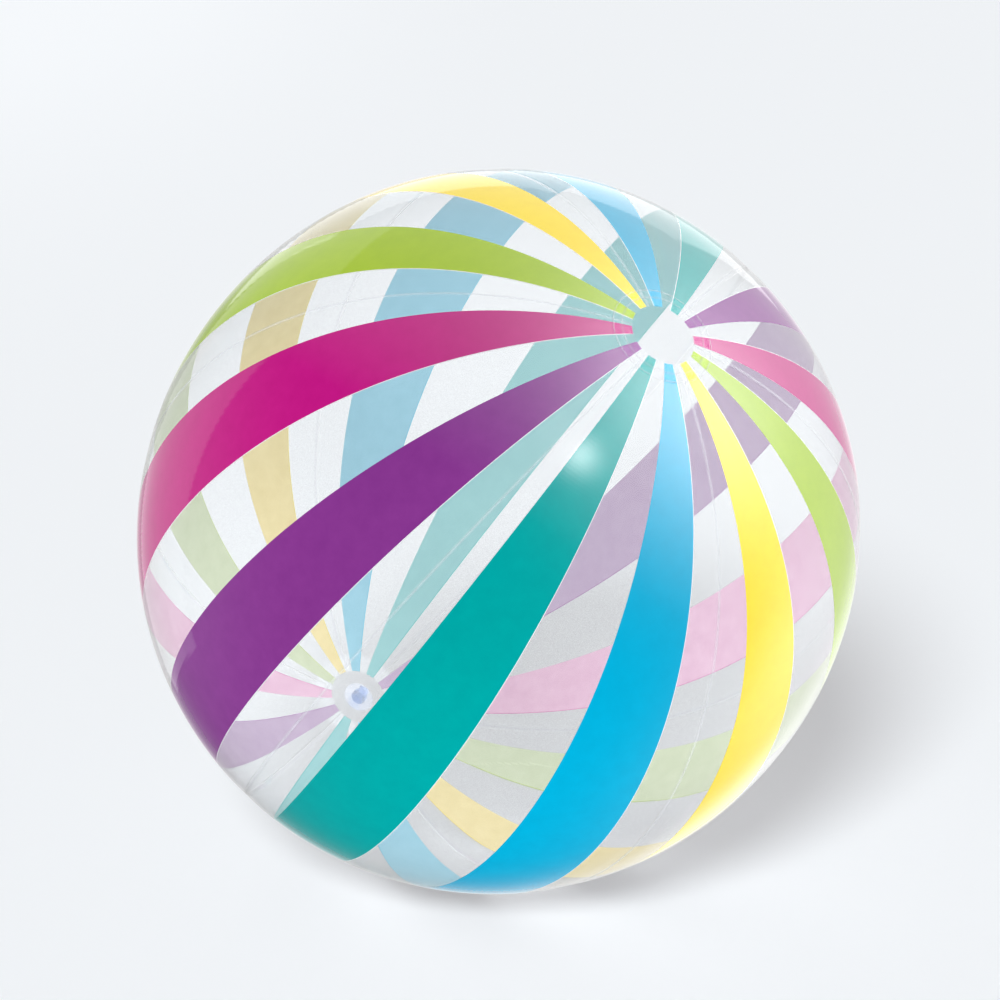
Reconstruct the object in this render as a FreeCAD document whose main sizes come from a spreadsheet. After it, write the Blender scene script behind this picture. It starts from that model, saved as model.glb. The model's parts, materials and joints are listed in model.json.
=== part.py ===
import FreeCAD, Part
import math
import os
import re
import Sketcher
from FreeCAD import Placement, Rotation, Vector

# An inflated six-gore beach ball of clear vinyl film, with a pop-up safety valve in one end cap.
#
# Frame: the ball rests on the plane z = 0, +Z is up, and the origin is the middle of its contact patch.
# Ball frame: origin at the ball's centre, +Z along the polar axis towards the plain end cap.
# Valve frame: origin where the polar axis leaves the other end of the ball, +Z outwards.
# Lengths are millimetres and angles are degrees.

SIZES = [
    ("ball_radius", 400, "outside of the gores"),
    ("film", 0.3, "thickness of one layer of film"),
    ("gore_count", 6, "gores round the ball"),
    ("gore_end_radius", 35.5, "hole left at each pole by the gores' ends"),
    ("lap_width", 6, "how far a gore reaches under its neighbour"),
    ("lap_root", 3, "how far the lap strip reaches back under its own gore"),
    ("patch_radius", 40, "flat patch pressed by the ball's weight"),
    ("pole_heading", -54.4, "heading of the plain cap's pole, from +X about +Z"),
    ("pole_lean", 46.4, "lean of the polar axis from upright"),
    ("first_seam", -63.7, "first seam, from the lowest meridian about the polar axis"),
    ("cap_radius", 57, "both end caps"),
    ("hole_radius", 9, "hole for the valve in the valve end cap"),
    ("flange_radius", 18.5, "valve flange welded inside the cap"),
    ("flange_thickness", 1.2, "valve flange"),
    ("neck_radius", 8.8, "outside of the soft neck, and the flange's hole"),
    ("neck_wall", 0.8, "wall of the soft neck"),
    ("neck_depth", 6, "reach of the soft neck inside the ball"),
    ("neck_bore", 6.8, "hole that the stem slides through"),
    ("stem_radius", 6.5, "outside of the valve stem"),
    ("bore_radius", 4, "air way through the stem"),
    ("stem_out", 11, "stem's mouth above the film when popped out"),
    ("stem_in", 16, "stem's inner end below the film"),
    ("lip_radius", 7.5, "lip round the stem's mouth, and the plug's head"),
    ("lip_height", 2.5, "lip round the stem's mouth"),
    ("lip_round", 0.6, "rounding of the lip and of the plug's head"),
    ("play", 0.1, "gap between pieces that move on each other"),
    ("plug_head", 2, "thickness of the plug's head"),
    ("plug_length", 5, "shank of the plug"),
    ("plug_top", 3.85, "shank's radius under the head"),
    ("plug_tip", 2.7, "shank's radius at its tip"),
    ("tab_reach", 12.5, "end of the plug's pull tab, from the valve's axis"),
    ("tab_width", 6, "width of the pull tab"),
    ("tab_thickness", 1.2, "thickness of the pull tab and of the strap"),
    ("strap_reach", 10, "fold of the strap, from the valve's axis"),
    ("strap_width", 4, "width of the strap"),
    ("strap_fold", 1.1, "radius of the bead at the strap's fold"),
    ("flap_radius", 5.5, "check flap over the stem's inner mouth"),
    ("flap_thickness", 0.6, "check flap"),
    ("flap_reach", 7, "flap's hinge bead, from the valve's axis"),
    ("flap_bead", 0.45, "radius of the flap's hinge bead"),
    ("flap_tab", 3, "width of the flap's hinge tab"),
]

# Colours of the two stripes printed on each gore, in the order of the gores round the ball.
STRIPE_PAIRS = ["teal_blue", "yellow_green", "magenta_purple"]

doc = FreeCAD.newDocument("beach_ball")
sizes = doc.addObject("Spreadsheet::Sheet", "sizes")
for row, (alias, value, meaning) in enumerate(SIZES, start=1):
    sizes.set(f"A{row}", alias)
    sizes.set(f"B{row}", str(value))
    sizes.setAlias(f"B{row}", alias)
    sizes.set(f"C{row}", meaning)
doc.recompute()

ALIASES = {alias for alias, value, meaning in SIZES}
nodes = []


def tied(text):
    """An expression over the sheet, from one that names the sizes alone."""
    return re.sub(r"[a-z_]+", lambda word: f"sizes.{word[0]}" if word[0] in ALIASES else word[0], text)


def worth(text):
    """The value that an expression over the sizes has now."""
    return float(sizes.evalExpression(tied(text)))


def node(thing, label):
    """Marks an object as one of the ball's pieces, under its own name."""
    thing.Label = label
    nodes.append(thing)
    return thing


def made(kind, name, place, **expressions):
    """A new object in its place, with its properties tied to the sheet."""
    thing = doc.addObject(kind, name)
    thing.Placement = place
    for key, text in expressions.items():
        thing.setExpression(key, tied(text))
    return thing


def common(name, *shapes):
    """What several solids share."""
    shared = doc.addObject("Part::MultiCommon", name)
    shared.Shapes = list(shapes)
    return shared


def cut(name, base, tool):
    """A solid with a second one taken away."""
    result = doc.addObject("Part::Cut", name)
    result.Base = base
    result.Tool = tool
    return result


def fuse(name, *shapes):
    """Several solids joined into one."""
    joined = doc.addObject("Part::MultiFuse", name)
    joined.Shapes = list(shapes)
    return joined


# ---------------------------------------------------------------- frames

UP = Vector(0, 0, 1)
ACROSS = Vector(0, 1, 0)
END_OVER_END = Placement(Vector(), Rotation(ACROSS, 180))

centre_height = math.sqrt(sizes.ball_radius**2 - sizes.patch_radius**2)
tilt = Rotation(UP, sizes.pole_heading).multiply(Rotation(ACROSS, sizes.pole_lean))
ball_frame = Placement(Vector(0, 0, centre_height), tilt)
flipped_frame = ball_frame.multiply(END_OVER_END)
valve_frame = flipped_frame.multiply(Placement(Vector(0, 0, sizes.ball_radius), Rotation()))


def in_ball(turn=0.0, offset=Vector()):
    """A place in the ball frame, turned about the polar axis and then moved."""
    turned_frame = ball_frame.multiply(Placement(Vector(), Rotation(UP, turn)))
    return turned_frame.multiply(Placement(offset, Rotation()))


# ---------------------------------------------------------------- gores

MARGIN = 1.0  # degrees by which an inner wedge runs past an outer one, so that the cut goes through
END_SHARE = 0.9  # the same at the poles: the inner wedge's hole as a share of the outer one's
LAP_WEDGE = 30.0  # degrees of the ball that a lap strip is cut from


def above_floor(name, height):
    """A block that holds everything above a level plane."""
    block = made("Part::Box", name, Placement())
    for side in ("Length", "Width", "Height"):
        block.setExpression(side, tied("3 * ball_radius"))
    for key, text in (("x", "-1.5 * ball_radius"), ("y", "-1.5 * ball_radius"), ("z", height)):
        block.setExpression(f"Placement.Base.{key}", tied(text))
    return block


def lune(name, depth, turn, width, end_share=1.0):
    """A wedge of the ball between two meridians, cut off square to the polar axis near each pole."""
    reach = f"90 deg - asin({end_share} * gore_end_radius / ball_radius)"
    radius = f"ball_radius - {depth}"
    return made("Part::Sphere", name, in_ball(turn), Radius=radius, Angle1=f"-({reach})", Angle2=reach, Angle3=width)


def film_layer(name, outside, inside, turn, width, *limits):
    """Film between two depths under the gores' outside, flat where it lies on the floor."""
    whole = common(
        f"{name}_whole",
        lune(f"{name}_outer", outside, turn, width),
        above_floor(f"{name}_floor", outside),
        *limits,
    )
    wide = f"{width} + {2 * MARGIN}"
    hollow = common(
        f"{name}_hollow",
        lune(f"{name}_inner", inside, turn - MARGIN, wide, END_SHARE),
        above_floor(f"{name}_inner_floor", inside),
    )
    return cut(name, whole, hollow)


def lap_slab(name, turn):
    """A slab along a seam's meridian, as wide as the lap strip."""
    offset = Vector(0, -sizes.lap_root, -1.5 * sizes.ball_radius)
    wide = "lap_width + lap_root"
    return made("Part::Box", name, in_ball(turn, offset), Length="2 * ball_radius", Width=wide, Height="3 * ball_radius")


def gore(index):
    """One gore: a sheet from pole to pole, with a lap strip that goes under the next gore's edge."""
    pitch = 360 / sizes.gore_count
    start = sizes.first_seam + index * pitch
    seam = start + pitch
    turn, pair = divmod(index, len(STRIPE_PAIRS))
    label = f"gore_{STRIPE_PAIRS[pair]}_{turn + 1}"
    sheet = film_layer(f"sheet_{index}", "0", "film", start, "360 / gore_count")
    slab = lap_slab(f"slab_{index}", seam)
    lap = film_layer(f"lap_{index}", "film", "2 * film", seam - LAP_WEDGE / 2, f"{LAP_WEDGE}", slab)
    return node(fuse(label, sheet, lap), label)


for number in range(int(sizes.gore_count)):
    gore(number)

# ---------------------------------------------------------------- end caps and valve flange


def curved_disc(label, frame, outside, inside, radius, hole=None):
    """A round disc that follows the ball's curve between two radii, with or without a round hole."""
    span = "1.2 * ball_radius"
    outer = made("Part::Sphere", f"{label}_outer", frame, Radius=outside)
    rim = made("Part::Cylinder", f"{label}_rim", frame, Radius=radius, Height=span)
    core = made("Part::Sphere", f"{label}_core", frame, Radius=inside)
    disc = cut(f"{label}_disc", common(f"{label}_whole", outer, rim), core)
    if hole:
        opening = made("Part::Cylinder", f"{label}_opening", frame, Radius=hole, Height=span)
        disc = cut(f"{label}_ring", disc, opening)
    return node(disc, label)


CAP_FACES = ("ball_radius + film", "ball_radius")
FLANGE_FACES = ("ball_radius", "ball_radius - flange_thickness")
curved_disc("end_cap_plain", ball_frame, *CAP_FACES, "cap_radius")
curved_disc("end_cap_valve", flipped_frame, *CAP_FACES, "cap_radius", "hole_radius")
curved_disc("valve_flange", flipped_frame, *FLANGE_FACES, "flange_radius", "neck_radius")

# ---------------------------------------------------------------- valve


def valve_body(label):
    """An empty body in the valve frame, as one of the ball's pieces."""
    body = doc.addObject("PartDesign::Body", label)
    body.Placement = valve_frame
    return node(body, label)


def sketch_on(body, role, name):
    """An empty sketch on one of the body's own planes."""
    plane = next(feature for feature in body.Origin.OriginFeatures if feature.Role == role)
    sketch = body.newObject("Sketcher::SketchObject", name)
    sketch.AttachmentSupport = (plane, [""])
    sketch.MapMode = "FlatFace"
    return sketch


def fix_point(sketch, edge, point, spot):
    """Holds a point of a sketch at distances from its axes that follow the sheet."""
    for kind, text in zip(("DistanceX", "DistanceY"), spot):
        number = sketch.addConstraint(Sketcher.Constraint(kind, -1, 1, edge, point, worth(text)))
        sketch.setExpression(f"Constraints[{number}]", tied(text))


def outline(sketch, corners):
    """A closed outline of straight edges through the given corners."""
    spots = [Vector(worth(across), worth(up), 0) for across, up in corners]
    count = len(corners)
    for index, spot in enumerate(spots):
        sketch.addGeometry(Part.LineSegment(spot, spots[(index + 1) % count]))
    for index in range(count):
        sketch.addConstraint(Sketcher.Constraint("Coincident", index, 2, (index + 1) % count, 1))
    for index, corner in enumerate(corners):
        fix_point(sketch, index, 1, corner)


def turned(body, name, corners):
    """A solid of revolution about the valve's axis, from corners given as (radius, height)."""
    sketch = sketch_on(body, "XZ_Plane", f"{name}_profile")
    outline(sketch, corners)
    turning = body.newObject("PartDesign::Revolution", name)
    turning.Profile = sketch
    turning.ReferenceAxis = (sketch, ["V_Axis"])
    turning.Angle = 360
    return turning


def hollowed(body, name, corners):
    """Takes a solid of revolution about the valve's axis out of a body."""
    sketch = sketch_on(body, "XZ_Plane", f"{name}_profile")
    outline(sketch, corners)
    groove = body.newObject("PartDesign::Groove", name)
    groove.Profile = sketch
    groove.ReferenceAxis = (sketch, ["V_Axis"])
    groove.Angle = 360
    return groove


def padded(body, name, role, width, corners=None, bead=None):
    """A pad of an outline, or of a round bead (across, up, radius), that spreads both ways from a plane."""
    sketch = sketch_on(body, role, f"{name}_profile")
    if corners:
        outline(sketch, corners)
    else:
        sketch.addGeometry(Part.Circle(Vector(worth(bead[0]), worth(bead[1]), 0), UP, worth(bead[2])))
        number = sketch.addConstraint(Sketcher.Constraint("Radius", 0, worth(bead[2])))
        sketch.setExpression(f"Constraints[{number}]", tied(bead[2]))
        fix_point(sketch, 0, 3, bead[:2])
    pad = body.newObject("PartDesign::Pad", name)
    pad.Profile = sketch
    pad.SideType = "Symmetric"
    pad.setExpression("Length", tied(width))
    return pad


def rounded(body, name, base, radius, rings):
    """A fillet on the round edges of a feature that have the given (radius, height)."""
    doc.recompute()
    wanted = [(worth(ring), worth(height)) for ring, height in rings]
    names = []
    for number, edge in enumerate(base.Shape.Edges, start=1):
        if isinstance(edge.Curve, Part.Circle):
            here = (edge.Curve.Radius, edge.Curve.Center.z)
            if any(math.dist(here, ring) < 1e-4 for ring in wanted):
                names.append(f"Edge{number}")
    fillet = body.newObject("PartDesign::Fillet", name)
    fillet.Base = (base, names)
    fillet.setExpression("Radius", tied(radius))
    return fillet


def valve_neck():
    """The soft sleeve that hangs from the flange and holds the stem, and rolls when it is pushed in."""
    body = valve_body("valve_neck")
    corners = [
        ("neck_radius - neck_wall", "-film"),
        ("neck_radius", "-film"),
        ("neck_radius", "-neck_depth"),
        ("neck_bore", "-neck_depth"),
        ("neck_bore", "neck_wall - neck_depth"),
        ("neck_radius - neck_wall", "neck_wall - neck_depth"),
    ]
    body.Tip = turned(body, "neck_sleeve", corners)


def valve_stem():
    """The blow-up tube, with a lip round its mouth, a lug for the strap and one for the check flap."""
    body = valve_body("valve_stem")
    tube = turned(body, "stem_tube", [
        ("bore_radius", "-stem_in"),
        ("stem_radius", "-stem_in"),
        ("stem_radius", "stem_out - lip_height"),
        ("lip_radius", "stem_out - lip_height"),
        ("lip_radius", "stem_out"),
        ("bore_radius", "stem_out"),
    ])
    rings = [("lip_radius", "stem_out"), ("lip_radius", "stem_out - lip_height")]
    rounded(body, "stem_lip_round", tube, "lip_round", rings)
    near_fold = "strap_fold + play - strap_reach"
    padded(body, "strap_lug", "XZ_Plane", "strap_width", [
        ("lip_round - lip_radius", "stem_out - lip_height + lip_round"),
        (near_fold, "stem_out - lip_height + lip_round"),
        (near_fold, "stem_out - lip_round"),
        ("lip_round - lip_radius", "stem_out - lip_round"),
    ])
    body.Tip = padded(body, "flap_lug", "XZ_Plane", "flap_tab", [
        ("stem_radius - flap_bead", "-stem_in"),
        ("flap_reach + flap_bead", "-stem_in"),
        ("flap_reach + flap_bead", "flap_tab - stem_in"),
        ("stem_radius - flap_bead", "flap_tab - stem_in"),
    ])


def check_flap():
    """The thin disc that air pressure holds shut on the stem's inner mouth."""
    body = valve_body("check_flap")
    top = "-stem_in - play"
    under = "-stem_in - play - flap_thickness"
    turned(body, "flap_disc", [("0", under), ("flap_radius", under), ("flap_radius", top), ("0", top)])
    padded(body, "flap_tongue", "XZ_Plane", "flap_tab", [
        ("flap_radius - flap_tab", under),
        ("flap_reach", under),
        ("flap_reach", top),
        ("flap_radius - flap_tab", top),
    ])
    bead_height = "-stem_in - play - flap_bead"
    body.Tip = padded(body, "flap_hinge", "XZ_Plane", "flap_tab", bead=("flap_reach", bead_height, "flap_bead"))


def valve_plug():
    """The stopper: a tapered shank in the stem's mouth, a round head and a tongue to pull it by."""
    body = valve_body("valve_plug")
    under = "stem_out + play"
    top = "stem_out + play + plug_head"
    stopper = turned(body, "plug_stopper", [
        ("0", "stem_out + play - plug_length"),
        ("plug_tip", "stem_out + play - plug_length"),
        ("plug_top", under),
        ("lip_radius", under),
        ("lip_radius", top),
        ("0", top),
    ])
    rounded(body, "plug_head_round", stopper, "lip_round", [("lip_radius", top)])
    body.Tip = padded(body, "pull_tab", "XZ_Plane", "tab_width", [
        ("plug_top", under),
        ("tab_reach", under),
        ("tab_reach", "stem_out + play + tab_thickness"),
        ("plug_top", "stem_out + play + tab_thickness"),
    ])


def plug_strap():
    """The strap that keeps the plug on the stem: a flat tongue that ends in a bead at its fold."""
    body = valve_body("plug_strap")
    padded(body, "strap_tongue", "XZ_Plane", "strap_width", [
        ("-strap_reach", "stem_out + play"),
        ("-lip_radius + lip_round", "stem_out + play"),
        ("-lip_radius + lip_round", "stem_out + play + tab_thickness"),
        ("-strap_reach", "stem_out + play + tab_thickness"),
    ])
    fold = ("-strap_reach", "stem_out + play + tab_thickness / 2", "strap_fold")
    padded(body, "strap_bead", "XZ_Plane", "strap_width", bead=fold)
    body.Tip = hollowed(body, "head_seat", [
        ("0", "stem_out"),
        ("lip_radius", "stem_out"),
        ("lip_radius", "stem_out + play + plug_head"),
        ("0", "stem_out + play + plug_head"),
    ])


valve_neck()
valve_stem()
check_flap()
valve_plug()
plug_strap()

# ---------------------------------------------------------------- checks and files

doc.recompute()
for thing in doc.Objects:
    if {"Invalid", "Error"} & set(thing.State):
        raise RuntimeError(f"{thing.Name} failed: {thing.State}")
for piece in nodes:
    if piece.Shape.isNull() or not piece.Shape.isValid() or len(piece.Shape.Solids) != 1:
        raise RuntimeError(f"{piece.Label} is not one valid solid")

os.makedirs("parts", exist_ok=True)
for piece in nodes:
    piece.Shape.exportStep(f"parts/{piece.Label}.step")
    print(f"{piece.Label}: {piece.Shape.Volume:.1f} mm3")
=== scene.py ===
import json
import math
import random

import bpy
import numpy as np
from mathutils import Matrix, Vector

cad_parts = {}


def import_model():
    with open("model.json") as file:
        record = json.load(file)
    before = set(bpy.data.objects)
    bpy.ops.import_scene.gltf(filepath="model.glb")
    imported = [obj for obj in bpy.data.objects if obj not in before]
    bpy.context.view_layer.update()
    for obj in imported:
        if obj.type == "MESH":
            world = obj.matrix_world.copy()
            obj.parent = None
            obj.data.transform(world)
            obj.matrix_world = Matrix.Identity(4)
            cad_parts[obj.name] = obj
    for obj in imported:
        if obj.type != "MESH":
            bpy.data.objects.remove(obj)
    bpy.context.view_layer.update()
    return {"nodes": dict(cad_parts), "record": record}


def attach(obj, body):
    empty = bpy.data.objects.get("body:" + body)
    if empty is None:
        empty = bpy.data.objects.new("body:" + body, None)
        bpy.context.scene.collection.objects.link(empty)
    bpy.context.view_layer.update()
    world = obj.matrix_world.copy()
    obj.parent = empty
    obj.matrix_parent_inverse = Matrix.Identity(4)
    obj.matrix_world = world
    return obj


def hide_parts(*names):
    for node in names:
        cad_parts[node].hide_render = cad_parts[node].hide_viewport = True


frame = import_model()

# An inflated beach ball: six gores of clear vinyl film with printed stripes, two welded end caps and
# a valve. Lengths are metres and angles are degrees, unless a name or a docstring says otherwise.
# Longitude runs about the polar axis from the lowest meridian. Colatitude runs from the plain cap's pole.

# ---------------------------------------------------------------- sizes

BALL_RADIUS = 0.400
# The film's thickness.
FILM = 0.0003
GORES = 6
PITCH = 360 / GORES
FIRST_SEAM = -63.7
GORE_END_RADIUS = 0.0355
CAP_RADIUS = 0.057
VALVE_HOLE_RADIUS = 0.009
STEM_OUT = 0.011

# Each gore laps over the edge of the one before it. The weld's bead runs along the middle of the lap.
LAP_WIDTH = 0.006
BEAD_START = 0.0017
BEAD_END = 0.0043
# How far the lap strip drops, to pass under the next gore, and how wide the step down to it is.
LAP_DROP = 0.0004
STEP_WIDTH = 0.0012
STEP_END = 0.2
# How far the front of each print lies off its back, which leaves a thin bare line and a thin pale line.
INK_SHIFT = 0.0007
# Near the poles these widths are held to a share of the clear margin between the seam and the print.
LAP_SHARE = 0.75
SHIFT_SHARE = 0.1
STEP_SHARE = 0.18

# The stripes' centres, from their gore's first seam.
STRIPE_CENTRES = (15.0, 45.0)
PAIRS = (("teal", "blue"), ("yellow", "green"), ("magenta", "purple"))
# Each ink's stripe width, and how far its print lies off the stripe's centre.
STRIPE_WIDTHS = {
    "teal": 14.6, "blue": 15.3, "yellow": 13.8, "green": 14.5, "magenta": 15.3, "purple": 14.7,
}
STRIPE_DRIFTS = {
    "teal": -0.15, "blue": 0.05, "yellow": 0.25, "green": 0.15, "magenta": 0.05, "purple": 0.35,
}

RIPPLE_SEED = 7
ripple_random = random.Random(RIPPLE_SEED)

# ---------------------------------------------------------------- ball frame

mounts = {mount["name"]: mount for mount in frame["record"]["mounts"]}
port = mounts["inflation_port"]
POLE = -np.array(port["axis"])
CENTRE = np.array(port["pos_m"]) + POLE * (BALL_RADIUS + STEM_OUT)
DOWN = np.array([0.0, 0.0, -1.0])
AXIS_X = DOWN - POLE * DOWN.dot(POLE)
AXIS_X /= np.linalg.norm(AXIS_X)
AXIS_Y = np.cross(POLE, AXIS_X)


def directions(colat, lon):
    """Unit vectors from the ball's centre, for arrays of angles in radians."""
    ring = np.cos(lon)[..., None] * AXIS_X + np.sin(lon)[..., None] * AXIS_Y
    return np.cos(colat)[..., None] * POLE + np.sin(colat)[..., None] * ring


# The film's height over the sphere. The overall shape is given in shares of the ball's radius.
FULLNESS = 0.0010
SQUARENESS = 0.0055
# A shallow valley runs along each seam.
VALLEY_DEPTH = 0.0005
VALLEY_WIDTH = 0.016
# Small puckers lie across each seam. They fade away from it, and swell and die down along it.
PUCKER_HEIGHT = 0.00002
PUCKER_REACH = 0.020
PUCKER_WAVES = (0.0140, 0.0190, 0.0310)
SWELL_LENGTH = 0.23
SWELL_SHIFT = 1.7
# The gores gather in folds round each end cap.
GATHER_HEIGHT = 0.00003
GATHER_FOLDS = (17, 26, 41)
GATHER_AT = 0.070
GATHER_SPREAD = 0.022
pucker_phases = [[ripple_random.uniform(0, math.tau) for wave in PUCKER_WAVES] for seam in range(GORES)]
gather_phases = [ripple_random.uniform(0, math.tau) for fold in GATHER_FOLDS]


def film_height(colat, lon):
    """How far the film stands over the sphere at arrays of angles in radians."""
    shape = BALL_RADIUS * (FULLNESS + SQUARENESS * (np.cos(2 * colat) - np.cos(4 * colat)))
    turn = np.degrees(lon) - FIRST_SEAM
    seam = np.round(turn / PITCH)
    beside = np.radians(np.abs(turn - seam * PITCH)) * BALL_RADIUS * np.sin(colat)
    along = colat * BALL_RADIUS
    valley = -VALLEY_DEPTH * np.exp(-((beside / VALLEY_WIDTH) ** 2))
    ripple = np.zeros_like(along)
    number = seam.astype(int) % GORES
    for index, wave in enumerate(PUCKER_WAVES):
        phase = np.array([phases[index] for phases in pucker_phases])[number]
        ripple += np.sin(math.tau * along / wave + phase)
    swell = 0.5 + 0.5 * np.sin(math.tau * along / SWELL_LENGTH + number * SWELL_SHIFT)
    puckers = PUCKER_HEIGHT * ripple * swell * np.exp(-beside / PUCKER_REACH)
    from_pole = np.minimum(colat, math.pi - colat) * BALL_RADIUS
    gather = np.zeros_like(along)
    for folds, phase in zip(GATHER_FOLDS, gather_phases):
        gather += np.sin(folds * lon + phase)
    gather *= GATHER_HEIGHT * np.exp(-(((from_pole - GATHER_AT) / GATHER_SPREAD) ** 2))
    return shape + valley + puckers + gather


# The film lower than PRESSED_BELOW is pressed flat on the floor, with a bend of this softness.
FLOOR_SOFTNESS = 0.0015
PRESSED_BELOW = 0.05


def film_points(colat, lon, lift):
    """Points of the film at a height over its own surface, pressed flat where it meets the floor."""
    radius = BALL_RADIUS + film_height(colat, lon) + lift
    points = CENTRE + directions(colat, lon) * radius[..., None]
    low = points[..., 2] - lift
    pressed = 0.5 * (low + np.sqrt(low**2 + FLOOR_SOFTNESS**2))
    points[..., 2] = np.where(low < PRESSED_BELOW, pressed + np.maximum(-lift, 0), points[..., 2])
    return points


# ---------------------------------------------------------------- mesh building


def shell_object(name, outer, inner, outer_slots, inner_slots, materials, closed):
    """A thin closed shell from two grids of points, with a material number for each face of both.

    outer and inner are (rows, columns, 3) arrays. closed joins the last column to the first.
    """
    rows, columns = outer.shape[:2]
    count = rows * columns
    points = np.concatenate([outer.reshape(-1, 3), inner.reshape(-1, 3)])
    faces, slots, flat = [], [], []
    last = columns if closed else columns - 1
    for row in range(rows - 1):
        for column in range(last):
            right = (column + 1) % columns
            a, b = row * columns + column, row * columns + right
            c, d = a + columns, b + columns
            faces.append((a, c, d, b))
            slots.append(outer_slots[row][column])
            flat.append(False)
            faces.append((a + count, b + count, d + count, c + count))
            slots.append(inner_slots[row][column])
            flat.append(False)
    rims = []
    for column in range(last):
        right = (column + 1) % columns
        rims.append((column, right, 0, column))
        base = (rows - 1) * columns
        rims.append((base + right, base + column, rows - 2, column))
    if not closed:
        for row in range(rows - 1):
            a, c = row * columns, (row + 1) * columns
            rims.append((c, a, row, 0))
            rims.append((a + columns - 1, c + columns - 1, row, columns - 2))
    for a, b, row, column in rims:
        faces.append((a, b, b + count, a + count))
        slots.append(outer_slots[row][column])
        flat.append(True)
    mesh = bpy.data.meshes.new(name)
    mesh.from_pydata(points.tolist(), [], faces)
    mesh.polygons.foreach_set("material_index", slots)
    mesh.attributes.new("sharp_face", "BOOLEAN", "FACE").data.foreach_set("value", flat)
    for material in materials:
        mesh.materials.append(material)
    mesh.update()
    thing = bpy.data.objects.new(name, mesh)
    bpy.context.scene.collection.objects.link(thing)
    return thing


# ---------------------------------------------------------------- materials

# Noise values lie mostly between these.
NOISE_RANGE = (0.3, 0.7)
# How fast a wall's reflection grows towards a grazing angle.
GRAZING_POWER = 5.0


def srgb(red, green, blue):
    """A linear colour from 8-bit sRGB values."""
    def linear(value):
        value /= 255
        return value / 12.92 if value <= 0.04045 else ((value + 0.055) / 1.055) ** 2.4
    return (linear(red), linear(green), linear(blue), 1.0)


class Tree:
    """A node tree, with short calls for making and joining its nodes."""

    def __init__(self, tree, output):
        self.tree = tree
        self.tree.nodes.clear()
        self.output = self.add(output)

    def add(self, kind, inputs=None, **settings):
        """A node with its settings, and its inputs either joined to a socket or given a value."""
        node = self.tree.nodes.new(kind)
        for key, value in settings.items():
            setattr(node, key, value)
        for key, value in (inputs or {}).items():
            if isinstance(value, bpy.types.NodeSocket):
                self.tree.links.new(value, node.inputs[key])
            else:
                node.inputs[key].default_value = value
        return node

    def math(self, operation, *values):
        """The result of a sum on sockets and numbers."""
        return self.add("ShaderNodeMath", dict(enumerate(values)), operation=operation).outputs[0]

    def ramp(self, value, low, high, first, second, smooth=False):
        """A value taken from one range to another, and held at its ends."""
        kind = "SMOOTHSTEP" if smooth else "LINEAR"
        inputs = {"Value": value, "From Min": low, "From Max": high, "To Min": first, "To Max": second}
        return self.add("ShaderNodeMapRange", inputs, interpolation_type=kind).outputs["Result"]

    def along(self, vector, axis):
        """How far a vector reaches along a fixed axis."""
        inputs = {0: vector, 1: axis}
        return self.add("ShaderNodeVectorMath", inputs, operation="DOT_PRODUCT").outputs["Value"]

    def place(self):
        """The point's place on the object, in metres."""
        return self.add("ShaderNodeTexCoord").outputs["Object"]

    def noise(self, scale, detail=3.0, roughness=0.5):
        """A noise value between 0 and 1 at a scale in waves per metre."""
        inputs = {"Vector": self.place(), "Scale": scale, "Detail": detail, "Roughness": roughness}
        return self.add("ShaderNodeTexNoise", inputs).outputs["Fac"]

    def spread(self, value, low, high):
        """The middle of a noise value stretched over a new range."""
        return self.ramp(value, *NOISE_RANGE, low, high)

    def blend(self, amount, first, second):
        """A colour between two colours."""
        node = self.add("ShaderNodeMix", data_type="RGBA")
        self.tree.links.new(amount, node.inputs["Factor"])
        for socket, colour in zip([s for s in node.inputs if s.type == "RGBA"], (first, second)):
            if isinstance(colour, bpy.types.NodeSocket):
                self.tree.links.new(colour, socket)
            else:
                socket.default_value = colour
        return node.outputs[2]

    def bump(self, height, distance, strength=1.0):
        """A normal bent by a height in units of the given distance."""
        inputs = {"Height": height, "Distance": distance, "Strength": strength}
        return self.add("ShaderNodeBump", inputs).outputs["Normal"]

    def fresnel(self, straight, normal):
        """How much a wall reflects: a share head on, all at a grazing angle, and none from its back."""
        facing = self.add("ShaderNodeLayerWeight", {"Blend": 0.5, "Normal": normal}).outputs["Facing"]
        share = self.ramp(self.math("POWER", facing, GRAZING_POWER), 0.0, 1.0, straight, 1.0)
        front = self.math("SUBTRACT", 1.0, self.add("ShaderNodeNewGeometry").outputs["Backfacing"])
        return self.math("MULTIPLY", share, front)

    def shaded(self, shader):
        """The shader, changed so that each wall lets the same share of light past into the shadow."""
        past = self.add("ShaderNodeBsdfTransparent", {"Color": SHADE_PAST}).outputs[0]
        return self.mix(self.add("ShaderNodeLightPath").outputs["Is Shadow Ray"], shader, past)

    def mix(self, amount, first, second):
        """A shader between two shaders."""
        node = self.add("ShaderNodeMixShader")
        if isinstance(amount, bpy.types.NodeSocket):
            self.tree.links.new(amount, node.inputs[0])
        else:
            node.inputs[0].default_value = amount
        self.tree.links.new(first, node.inputs[1])
        self.tree.links.new(second, node.inputs[2])
        return node.outputs[0]

    def finish(self, shader):
        """Joins the shader to the output."""
        self.tree.links.new(shader, self.output.inputs["Surface"])


def material_tree(name):
    """A new material and its tree."""
    material = bpy.data.materials.new(name)
    material.use_nodes = True
    return material, Tree(material.node_tree, "ShaderNodeOutputMaterial")


# The share of light that each kind of wall reflects head on.
VINYL_REFLECTION = 0.04
FILM_REFLECTION = 0.012
CAP_REFLECTION = 0.006
INNER_REFLECTION = 0.0015
# The share of a light that each wall lets past into the ball's shadow.
SHADE_PAST = (0.5, 0.5, 0.5, 1.0)
# The tone of every ink in the light that it throws on what is round it.
NEUTRAL = srgb(84, 85, 86)

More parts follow.
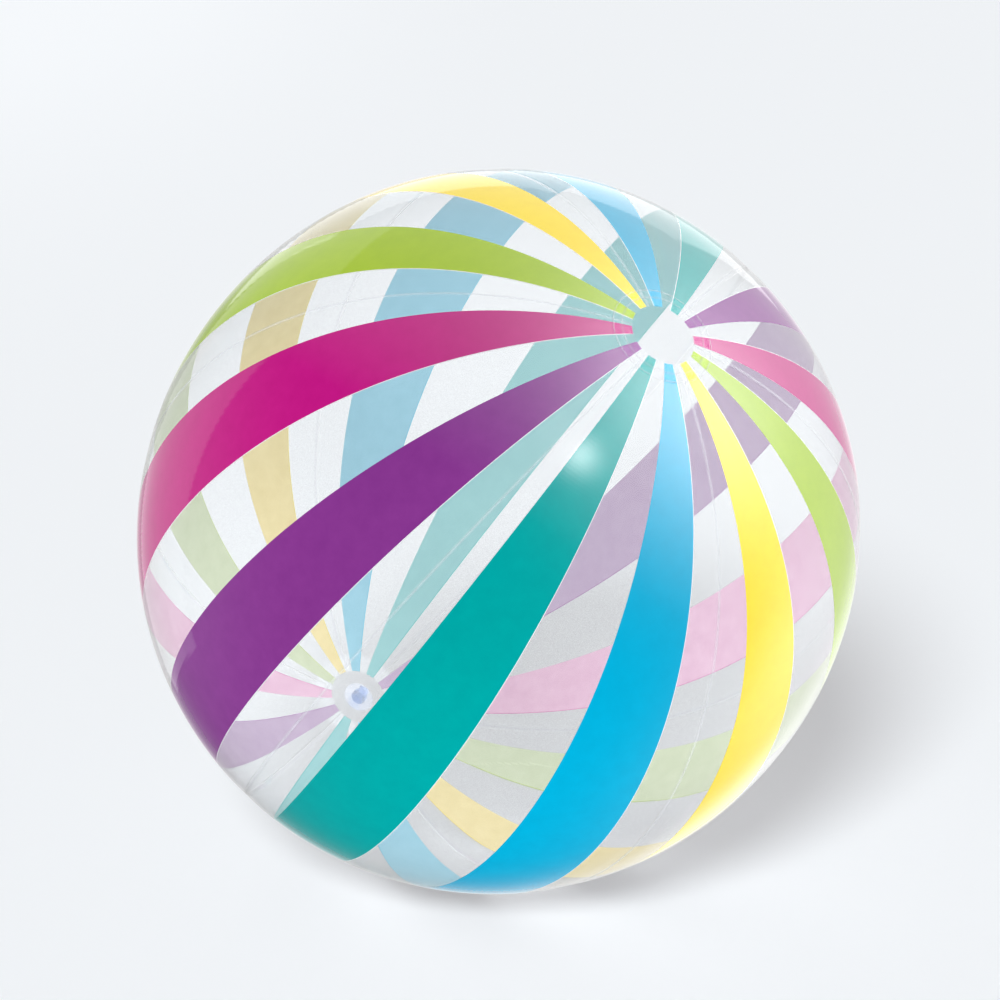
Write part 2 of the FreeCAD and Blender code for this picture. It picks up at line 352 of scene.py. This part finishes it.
# Roughness. A pair is the range that a fine grain spreads it over.
FILM_GLOSS = 0.03
BEAD_GLOSS = 0.12
INNER_GLOSS = 0.3
BACK_GLOSS = (0.3, 0.4)
VINYL_GLOSS = (0.10, 0.2)
# How many times rougher an ink's roughest grains are than its smoothest.
INK_ROUGHEST = 1.5
INK_IOR = 1.5
BACK_SPECULAR = 0.05

# How much white haze each clear finish shows from its front, and from its back where that differs.
FILM_HAZE = 0.012
BEAD_HAZE = 0.22
INNER_HAZE, INNER_BACK_HAZE = 0.40, 0.005
INNER_BEAD_HAZE, INNER_BEAD_BACK_HAZE = 0.43, 0.12
# The share that each haze varies by, either way.
HAZE_SPREAD = 0.2

# Noise scales in waves per metre, with heights where the noise is a relief.
FILM_WAVES, FILM_WAVE_HEIGHT = 12.0, 0.00004
HAZE_GRAIN = 900.0
INK_GRAIN = 1400.0
INK_MOTTLE, INK_MOTTLE_DETAIL, INK_MOTTLE_ROUGHNESS = 55.0, 6.0, 0.65
BACK_GRAIN = 700.0
VINYL_MOTTLE = 240.0
VINYL_GRAIN = 400.0
VINYL_DIMPLES, VINYL_DIMPLE_HEIGHT, VINYL_DIMPLE_STRENGTH = 700.0, 0.00002, 0.5
FINE_DETAIL = 2.0


def film_normal(tree):
    """The film's slight unevenness."""
    return tree.bump(tree.noise(FILM_WAVES, 1.0), FILM_WAVE_HEIGHT)


def clear_film(name, haze, milk, reflection, gloss=FILM_GLOSS, back_haze=None):
    """Clear vinyl: nearly all light passes, a little haze, and gloss that grows at a grazing angle.

    back_haze is the haze seen from the face's back, where that differs.
    """
    material, tree = material_tree(name)
    grain = tree.noise(HAZE_GRAIN, FINE_DETAIL)
    normal = film_normal(tree)
    clear = tree.add("ShaderNodeBsdfTransparent").outputs[0]
    cloud = tree.add("ShaderNodeBsdfDiffuse", {"Color": milk, "Normal": normal}).outputs[0]
    glow = tree.add("ShaderNodeBsdfTranslucent", {"Color": milk, "Normal": normal}).outputs[0]
    amount = tree.spread(grain, haze * (1 - HAZE_SPREAD), haze * (1 + HAZE_SPREAD))
    if back_haze is not None:
        behind = tree.add("ShaderNodeNewGeometry").outputs["Backfacing"]
        amount = tree.ramp(behind, 0.0, 1.0, amount, back_haze)
    body = tree.mix(amount, clear, tree.mix(0.5, cloud, glow))
    shine = tree.add("ShaderNodeBsdfGlossy", {"Roughness": gloss, "Normal": normal}).outputs[0]
    tree.finish(tree.shaded(tree.mix(tree.fresnel(reflection, normal), body, shine)))
    return material


def mottled(tree, colour, shade):
    """An ink's faintly mottled colour, and one plain grey where it throws light on something else."""
    noise = tree.noise(INK_MOTTLE, INK_MOTTLE_DETAIL, INK_MOTTLE_ROUGHNESS)
    mottle = tree.spread(noise, 0.0, 1.0)
    thrown = tree.add("ShaderNodeLightPath").outputs["Is Diffuse Ray"]
    return tree.blend(thrown, tree.blend(mottle, colour, shade), NEUTRAL)


def ink(name, colour, shade):
    """Dense glossy ink, seen from outside the ball."""
    material, tree = material_tree(name)
    grain = tree.noise(INK_GRAIN, FINE_DETAIL)
    surface = tree.add("ShaderNodeBsdfPrincipled", {
        "Base Color": mottled(tree, colour, shade),
        "Roughness": tree.spread(grain, FILM_GLOSS, FILM_GLOSS * INK_ROUGHEST),
        "IOR": INK_IOR,
        "Normal": film_normal(tree),
    }).outputs[0]
    tree.finish(tree.shaded(surface))
    return material


def ink_back(name, colour, shade):
    """The pale dull back of the ink, seen from inside the ball."""
    material, tree = material_tree(name)
    grain = tree.noise(BACK_GRAIN, FINE_DETAIL)
    surface = tree.add("ShaderNodeBsdfPrincipled", {
        "Base Color": mottled(tree, colour, shade),
        "Roughness": tree.spread(grain, *BACK_GLOSS),
        "Specular IOR Level": BACK_SPECULAR,
        "Normal": film_normal(tree),
    }).outputs[0]
    tree.finish(tree.shaded(surface))
    return material


def soft_vinyl(name, colour, shade, tint, clearness):
    """Moulded soft vinyl: clear with a blue cast and a waxy gloss."""
    material, tree = material_tree(name)
    mottle = tree.spread(tree.noise(VINYL_MOTTLE, 4.0), 0.0, 1.0)
    normal = tree.bump(tree.noise(VINYL_DIMPLES), VINYL_DIMPLE_HEIGHT, VINYL_DIMPLE_STRENGTH)
    mixed = tree.blend(mottle, colour, shade)
    body = tree.add("ShaderNodeBsdfDiffuse", {"Color": mixed, "Normal": normal}).outputs[0]
    glow = tree.add("ShaderNodeBsdfTranslucent", {"Color": colour, "Normal": normal}).outputs[0]
    clear = tree.add("ShaderNodeBsdfTransparent", {"Color": tint}).outputs[0]
    inside = tree.mix(clearness, tree.mix(0.5, body, glow), clear)
    roughness = tree.spread(tree.noise(VINYL_GRAIN), *VINYL_GLOSS)
    shine = tree.add("ShaderNodeBsdfGlossy", {"Roughness": roughness, "Normal": normal}).outputs[0]
    tree.finish(tree.mix(tree.fresnel(VINYL_REFLECTION, normal), inside, shine))
    return material


# Each ink's outer colour and its darker mottle, then its back's colour and darker mottle.
INKS = {
    "teal": ((0, 163, 161), (0, 157, 156), (161, 206, 207), (155, 200, 202)),
    "blue": ((0, 172, 212), (0, 166, 206), (162, 206, 222), (155, 200, 216)),
    "yellow": ((247, 219, 12), (243, 213, 8), (235, 222, 176), (227, 213, 164)),
    "green": ((163, 193, 18), (156, 187, 12), (208, 217, 191), (200, 210, 182)),
    "magenta": ((190, 23, 128), (184, 18, 123), (228, 196, 215), (220, 184, 206)),
    "purple": ((135, 56, 142), (129, 51, 137), (195, 179, 201), (187, 169, 194)),
}
# How far a bare edge's colour lies from the ink's back towards its front, and its mottle beyond that.
BARE_SHARE = 0.35
BARE_MOTTLE = 0.1


def between(first, second, share):
    """A colour part of the way from one 8-bit colour to another."""
    return tuple(a + (b - a) * share for a, b in zip(first, second))


outer_inks, inner_inks, bare_inks = {}, {}, {}
for key, (colour, shade, back, back_shade) in INKS.items():
    outer_inks[key] = ink(f"ink_{key}", srgb(*colour), srgb(*shade))
    inner_inks[key] = ink_back(f"ink_{key}_back", srgb(*back), srgb(*back_shade))
    bare = between(back, colour, BARE_SHARE)
    bare_shade = between(bare, colour, BARE_MOTTLE)
    bare_inks[key] = ink_back(f"ink_{key}_bare", srgb(*bare), srgb(*bare_shade))
BACKING = ink("ink_backing", srgb(238, 240, 243), srgb(232, 234, 238))
MILK = srgb(236, 240, 243)
BEAD_MILK = srgb(220, 223, 228)
CLEAR = clear_film("clear_film", FILM_HAZE, MILK, FILM_REFLECTION)
CAP_FILM = clear_film("cap_film", FILM_HAZE, MILK, CAP_REFLECTION)
INNER_FILM = clear_film(
    "inner_film", INNER_HAZE, MILK, INNER_REFLECTION, INNER_GLOSS, INNER_BACK_HAZE
)
BEAD = clear_film("welded_film", BEAD_HAZE, BEAD_MILK, FILM_REFLECTION, BEAD_GLOSS)
INNER_BEAD = clear_film(
    "inner_weld", INNER_BEAD_HAZE, BEAD_MILK, INNER_REFLECTION, INNER_GLOSS, INNER_BEAD_BACK_HAZE
)

# ---------------------------------------------------------------- gores

ROWS = 280


def key_columns(colat, pair):
    """Longitudes of a gore's edges, weld bead and print borders from its first seam.

    There is one array for each, with a value in radians for each row.
    """
    girth = BALL_RADIUS * np.sin(colat)
    pitch = math.radians(PITCH)
    margin = math.radians(STRIPE_CENTRES[0] + STRIPE_DRIFTS[pair[0]] - STRIPE_WIDTHS[pair[0]] / 2)
    lap = np.minimum(LAP_WIDTH / girth, LAP_SHARE * margin)
    shift = np.minimum(INK_SHIFT / girth, SHIFT_SHARE * margin)
    step = np.minimum(STEP_WIDTH / girth, STEP_SHARE * margin)
    keys = [0 * girth, lap * BEAD_START / LAP_WIDTH, lap * BEAD_END / LAP_WIDTH, lap]
    for key, centre in zip(pair, STRIPE_CENTRES):
        for side in (-0.5, 0.5):
            edge = math.radians(centre + STRIPE_DRIFTS[key] + side * STRIPE_WIDTHS[key])
            keys += [edge + 0 * girth, edge + shift]
    return keys + [pitch - step, pitch - step * STEP_END, pitch + lap]


def clear_spans(*counts):
    """Spans of plain clear film, one for each number of columns."""
    return [(count, "clear", "clear_in", 0) for count in counts]


def stripe_spans(number):
    """The three spans of a stripe: its bare edge, its print and its pale edge."""
    spans = (1, "ink", "bare"), (18, "ink", "back"), (1, "backing", "back")
    return [(count, outer + number, inner + number, 0) for count, outer, inner in spans]


# Each span between key columns: its number of columns, what its outer and inner faces show, and
# whether it is the dropped lap strip.
SPANS = (
    clear_spans(1) + [(2, "bead", "bead_in", 0)] + clear_spans(1, 8)
    + stripe_spans("1") + clear_spans(10) + stripe_spans("2")
    + clear_spans(9, 1) + [(3, "clear", "clear", 1)]
)


def gore(index):
    """One gore as a thin shell, printed with its two stripes, with a lap strip under the next gore."""
    turn, pair = divmod(index, len(PAIRS))
    first, second = PAIRS[pair]
    start = math.radians(FIRST_SEAM + index * PITCH)
    end = math.asin(GORE_END_RADIUS / BALL_RADIUS)
    colat = np.linspace(end, math.pi - end, ROWS)
    keys = key_columns(colat, PAIRS[pair])
    finishes = {
        "clear": CLEAR, "bead": BEAD, "clear_in": INNER_FILM, "bead_in": INNER_BEAD, "backing1": BACKING,
        "ink1": outer_inks[first], "back1": inner_inks[first], "bare1": bare_inks[first],
        "ink2": outer_inks[second], "back2": inner_inks[second], "bare2": bare_inks[second],
    }
    numbers = {name: number for number, name in enumerate(finishes)}
    numbers["backing2"] = numbers["backing1"]
    columns, drops, outer_row, inner_row = [], [], [], []
    for span, (count, outside, inside, lapped) in enumerate(SPANS):
        for column in range(count):
            share = column / count
            columns.append(keys[span] * (1 - share) + keys[span + 1] * share)
            drops.append(LAP_DROP * lapped)
            outer_row.append(numbers[outside])
            inner_row.append(numbers[inside])
    columns.append(keys[-1])
    drops.append(LAP_DROP)
    lon = start + np.array(columns).T
    colats = np.repeat(colat[:, None], lon.shape[1], axis=1)
    lift = -np.repeat(np.array(drops)[None, :], ROWS, axis=0)
    outer = film_points(colats, lon, lift)
    inner = film_points(colats, lon, lift - FILM)
    slots = [outer_row] * (ROWS - 1), [inner_row] * (ROWS - 1)
    node = f"gore_{first}_{second}_{turn + 1}"
    piece = shell_object(f"film_{node}", outer, inner, *slots, list(finishes.values()), closed=False)
    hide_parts(node)
    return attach(piece, "ball")


for number in range(GORES):
    gore(number)

# ---------------------------------------------------------------- end caps

CAP_LIFT = 0.00045
# The plain cap's rings close to this small radius at its pole.
CAP_PINHOLE = 0.0004
CAP_SEGMENTS = 240
CAP_RINGS = 90
RIDGES = (0.0465, 0.0560)
RIDGE_HEIGHT = 0.0002
RIDGE_WIDTH = 0.0009


def end_cap(node, at_valve):
    """A round cap of film over the gores' ends, with a ridge along each edge of its weld."""
    hole = VALVE_HOLE_RADIUS if at_valve else CAP_PINHOLE
    reach = np.linspace(hole, CAP_RADIUS, CAP_RINGS)
    angle = reach / BALL_RADIUS
    lon = np.linspace(0, math.tau, CAP_SEGMENTS, endpoint=False)
    if at_valve:
        angle = math.pi - angle
        lon = lon[::-1]
    colats, lons = np.meshgrid(angle, lon, indexing="ij")
    ridges = np.zeros_like(reach)
    for ridge in RIDGES:
        ridges += RIDGE_HEIGHT * np.exp(-(((reach - ridge) / RIDGE_WIDTH) ** 2))
    lift = np.repeat((CAP_LIFT + ridges)[:, None], CAP_SEGMENTS, axis=1)
    outer = film_points(colats, lons, lift)
    inner = film_points(colats, lons, lift - FILM)
    middles = (reach[1:] + reach[:-1]) / 2
    on_ridge = [int(min(abs(ring - ridge) for ridge in RIDGES) < RIDGE_WIDTH) for ring in middles]
    welded = [[number] * CAP_SEGMENTS for number in on_ridge]
    within = [[2 + number for number in row] for row in welded]
    finishes = [CAP_FILM, BEAD, INNER_FILM, INNER_BEAD]
    piece = shell_object(f"film_{node}", outer, inner, welded, within, finishes, closed=True)
    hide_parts(node)
    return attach(piece, "ball")


end_cap("end_cap_plain", False)
end_cap("end_cap_valve", True)

# ---------------------------------------------------------------- valve

# Each vinyl's colour, its darker mottle, the tint of what shows through it, and how clear it is.
FLANGE_VINYL = soft_vinyl(
    "flange_vinyl", srgb(226, 230, 237), srgb(220, 225, 233), srgb(250, 251, 254), 0.86
)
TUBE_VINYL = soft_vinyl(
    "tube_vinyl", srgb(190, 201, 220), srgb(180, 193, 215), srgb(238, 241, 247), 0.68
)
PLUG_VINYL = soft_vinyl(
    "plug_vinyl", srgb(206, 216, 234), srgb(196, 208, 230), srgb(240, 244, 250), 0.82
)
VALVE_NODES = {
    "valve_flange": FLANGE_VINYL, "valve_neck": TUBE_VINYL, "valve_stem": TUBE_VINYL,
    "check_flap": PLUG_VINYL, "valve_plug": PLUG_VINYL, "plug_strap": PLUG_VINYL,
}
for name, material in VALVE_NODES.items():
    thing = frame["nodes"][name]
    for place in thing.material_slots:
        place.link = "OBJECT"
        place.material = material

# ---------------------------------------------------------------- floor and light

FLOOR_SIZE = 60.0
FLOOR_TONE = (0.925, 0.925, 0.925, 1.0)
# The floor's colour grows to this paler tone as it runs back and to the left, over these distances. This is
# painted light, standing in for brighter light falling on the floor there.
FLOOR_PAINTED_LIGHT = (0.982, 0.982, 0.982, 1.0)
PAINTED_LIGHT_BACK = (1.5, 8.0)
PAINTED_LIGHT_LEFT = (-0.2, 1.7)
BACKDROP_TONE = srgb(239, 243, 246)

# The even light round everything, for all but the gloss.
EVEN_LIGHT = 0.15
# What the gloss sees. Headings are counted from the view's right, and 90 is straight behind the ball.
# The slope has a heading, a height, a middle and a rise.
SLOPE = (28, 51, -0.16, 2.07)
# Each glow has a heading, a height, a spread and a strength.
GLOWS = (
    (-7, 36, 26, 7.5),
    (-58, 38, 5, 10.7),
    (158, -8, 26, 0.45),
    (65, -33, 14, 1.5),
    (17, -29, 20, 2.4),
    (95, -14, 20, 0.9),
)
# Each panel has a heading, a height, how wide and how tall it is, an edge softness and a strength.
PANELS = (
    (134, 8, 40, 70, 1.0, 0.45),
    (90, 15, 46, 24, 1.0, 0.8),
)

# Each sun has a heading, a height, a strength and a spread.
KEY, KEY_TINT = (-103, 34, 2.45, 17), (0.90, 0.96, 1.0)
SKY, SKY_TINT = (0, 90, 1.27, 10), (0.97, 0.97, 1.0)
FILLS = ((-90, 25, 2.3, 10), (30, 25, 2.1, 10), (150, 25, 2.1, 10))
FILL_BELOW = (0, -90, 1.1, 10)


def compass(heading, height):
    """The unit vector towards a heading and a height above the floor."""
    a, e = math.radians(heading), math.radians(height)
    return Vector((math.cos(a) * math.cos(e), math.sin(a) * math.cos(e), math.sin(e)))


def floor():
    """A wide level floor in a plain pale tone, with painted light making it a little paler far off to the
    left.
    """
    mesh = bpy.data.meshes.new("floor")
    half = FLOOR_SIZE / 2
    corners = [(-half, -half, 0), (half, -half, 0), (half, half, 0), (-half, half, 0)]
    mesh.from_pydata(corners, [], [(0, 1, 2, 3)])
    material, tree = material_tree("floor")
    # Painted light: the floor's colour turns paler towards the back and the left.
    away = tree.ramp(tree.along(tree.place(), (0, 1, 0)), *PAINTED_LIGHT_BACK, 0.0, 1.0, smooth=True)
    aside = tree.ramp(tree.along(tree.place(), (-1, 0, 0)), *PAINTED_LIGHT_LEFT, 0.0, 1.0, smooth=True)
    tone = tree.blend(tree.math("MULTIPLY", away, aside), FLOOR_TONE, FLOOR_PAINTED_LIGHT)
    tree.finish(tree.add("ShaderNodeBsdfDiffuse", {"Color": tone}).outputs[0])
    mesh.materials.append(material)
    thing = bpy.data.objects.new("floor", mesh)
    thing.visible_glossy = False
    bpy.context.scene.collection.objects.link(thing)
    return thing


class Surround(Tree):
    """What the gloss sees around the ball, built up from soft lights."""

    def __init__(self, tree):
        super().__init__(tree, "ShaderNodeOutputWorld")
        self.toward = self.add("ShaderNodeTexCoord").outputs["Generated"]
        self.total = 0.0

    def put(self, strength):
        """Adds a strength to what is there."""
        self.total = self.math("ADD", self.total, strength)

    def slope(self, heading, height, middle, rise):
        """An even slope from dark to bright towards a heading."""
        level = self.math("MULTIPLY_ADD", self.along(self.toward, compass(heading, height)), rise, middle)
        self.put(self.math("MAXIMUM", level, 0.0))

    def glow(self, heading, height, spread, strength):
        """A round light that fades from its middle, to half at the given angle from it."""
        sharpness = math.log(2) / (1 - math.cos(math.radians(spread)))
        near = self.math("SUBTRACT", self.along(self.toward, compass(heading, height)), 1.0)
        fade = self.math("EXPONENT", self.math("MULTIPLY", near, sharpness))
        self.put(self.math("MULTIPLY", fade, strength))

    def panel(self, heading, height, width, tall, soft, strength):
        """A square light with soft edges. Width, height and softness are in degrees."""
        ahead = compass(heading, height)
        side = Vector((-math.sin(math.radians(heading)), math.cos(math.radians(heading)), 0))
        facing = self.along(self.toward, ahead)
        amount = self.math("GREATER_THAN", facing, 0.0)
        for axis, size in ((side, width), (ahead.cross(side), tall)):
            far = self.math("ABSOLUTE", self.math("DIVIDE", self.along(self.toward, axis), facing))
            edge, blur = math.tan(math.radians(size / 2)), math.tan(math.radians(soft))
            share = self.ramp(far, edge - blur / 2, edge + blur / 2, 1.0, 0.0, smooth=True)
            amount = self.math("MULTIPLY", amount, share)
        self.put(self.math("MULTIPLY", amount, strength))


def world():
    """An even pale surround, with soft lights that only the gloss sees."""
    studio = bpy.data.worlds.new("studio")
    studio.use_nodes = True
    tree = Surround(studio.node_tree)
    tree.slope(*SLOPE)
    for glow in GLOWS:
        tree.glow(*glow)
    for panel in PANELS:
        tree.panel(*panel)
    path = tree.add("ShaderNodeLightPath").outputs
    white = (1, 1, 1, 1)
    even = tree.add("ShaderNodeBackground", {"Color": white, "Strength": EVEN_LIGHT}).outputs[0]
    backdrop = tree.add("ShaderNodeBackground", {"Color": BACKDROP_TONE}).outputs[0]
    lights = tree.add("ShaderNodeBackground", {"Color": white, "Strength": tree.total}).outputs[0]
    seen = tree.mix(path["Is Camera Ray"], even, backdrop)
    tree.finish(tree.mix(path["Is Glossy Ray"], seen, lights))
    bpy.context.scene.world = studio


def sun(name, light, lit, shadows, tint=(1, 1, 1)):
    """A broad soft light for the given things only, from its heading, height, strength and spread."""
    heading, height, strength, spread = light
    data = bpy.data.lights.new(name, "SUN")
    data.energy = strength
    data.color = tint
    data.angle = math.radians(spread)
    data.use_shadow = shadows
    thing = bpy.data.objects.new(name, data)
    thing.rotation_mode = "QUATERNION"
    thing.rotation_quaternion = compass(heading, height).to_track_quat("Z", "Y")
    thing.visible_glossy = False
    bpy.context.scene.collection.objects.link(thing)
    group = bpy.data.collections.new(f"lit_by_{name}")
    for item in lit:
        group.objects.link(item)
    thing.light_linking.receiver_collection = group


ground = floor()
ball_things = [thing for thing in bpy.context.scene.objects if thing.type == "MESH" and thing is not ground]
world()
sun("key", KEY, [ground], True, KEY_TINT)
sun("sky", SKY, [ground], False, SKY_TINT)
for number, fill in enumerate(FILLS):
    sun(f"fill_{number + 1}", fill, ball_things, False)
sun("fill_below", FILL_BELOW, ball_things, False)

# ---------------------------------------------------------------- camera

CAMERA_DISTANCE = 3.373
# The camera's angle over the level, and its lens in millimetres.
CAMERA_ANGLE = 16.0
CAMERA_LENS = 109.2
# How far over and to the right of the ball's centre it aims.
AIM_ABOVE = 0.0355
AIM_RIGHT = 0.0027
# A ray may pass this many clear walls, and bounce this many times.
CLEAR_WALLS = 32
BOUNCES = 16


def camera():
    """The camera, level and aimed a little over the ball's centre."""
    data = bpy.data.cameras.new("camera")
    data.lens = CAMERA_LENS
    thing = bpy.data.objects.new("camera", data)
    e = math.radians(CAMERA_ANGLE)
    back = Vector((0, -math.cos(e), math.sin(e)))
    up = Vector((0, math.sin(e), math.cos(e)))
    thing.location = Vector(CENTRE) + back * CAMERA_DISTANCE
    aim = Vector(CENTRE) + up * AIM_ABOVE + Vector((AIM_RIGHT, 0, 0))
    thing.rotation_mode = "QUATERNION"
    thing.rotation_quaternion = (aim - thing.location).to_track_quat("-Z", "Y")
    bpy.context.scene.collection.objects.link(thing)
    bpy.context.scene.camera = thing


camera()
scene = bpy.context.scene
scene.view_settings.view_transform = "Standard"
scene.cycles.transparent_max_bounces = CLEAR_WALLS
scene.cycles.max_bounces = BOUNCES
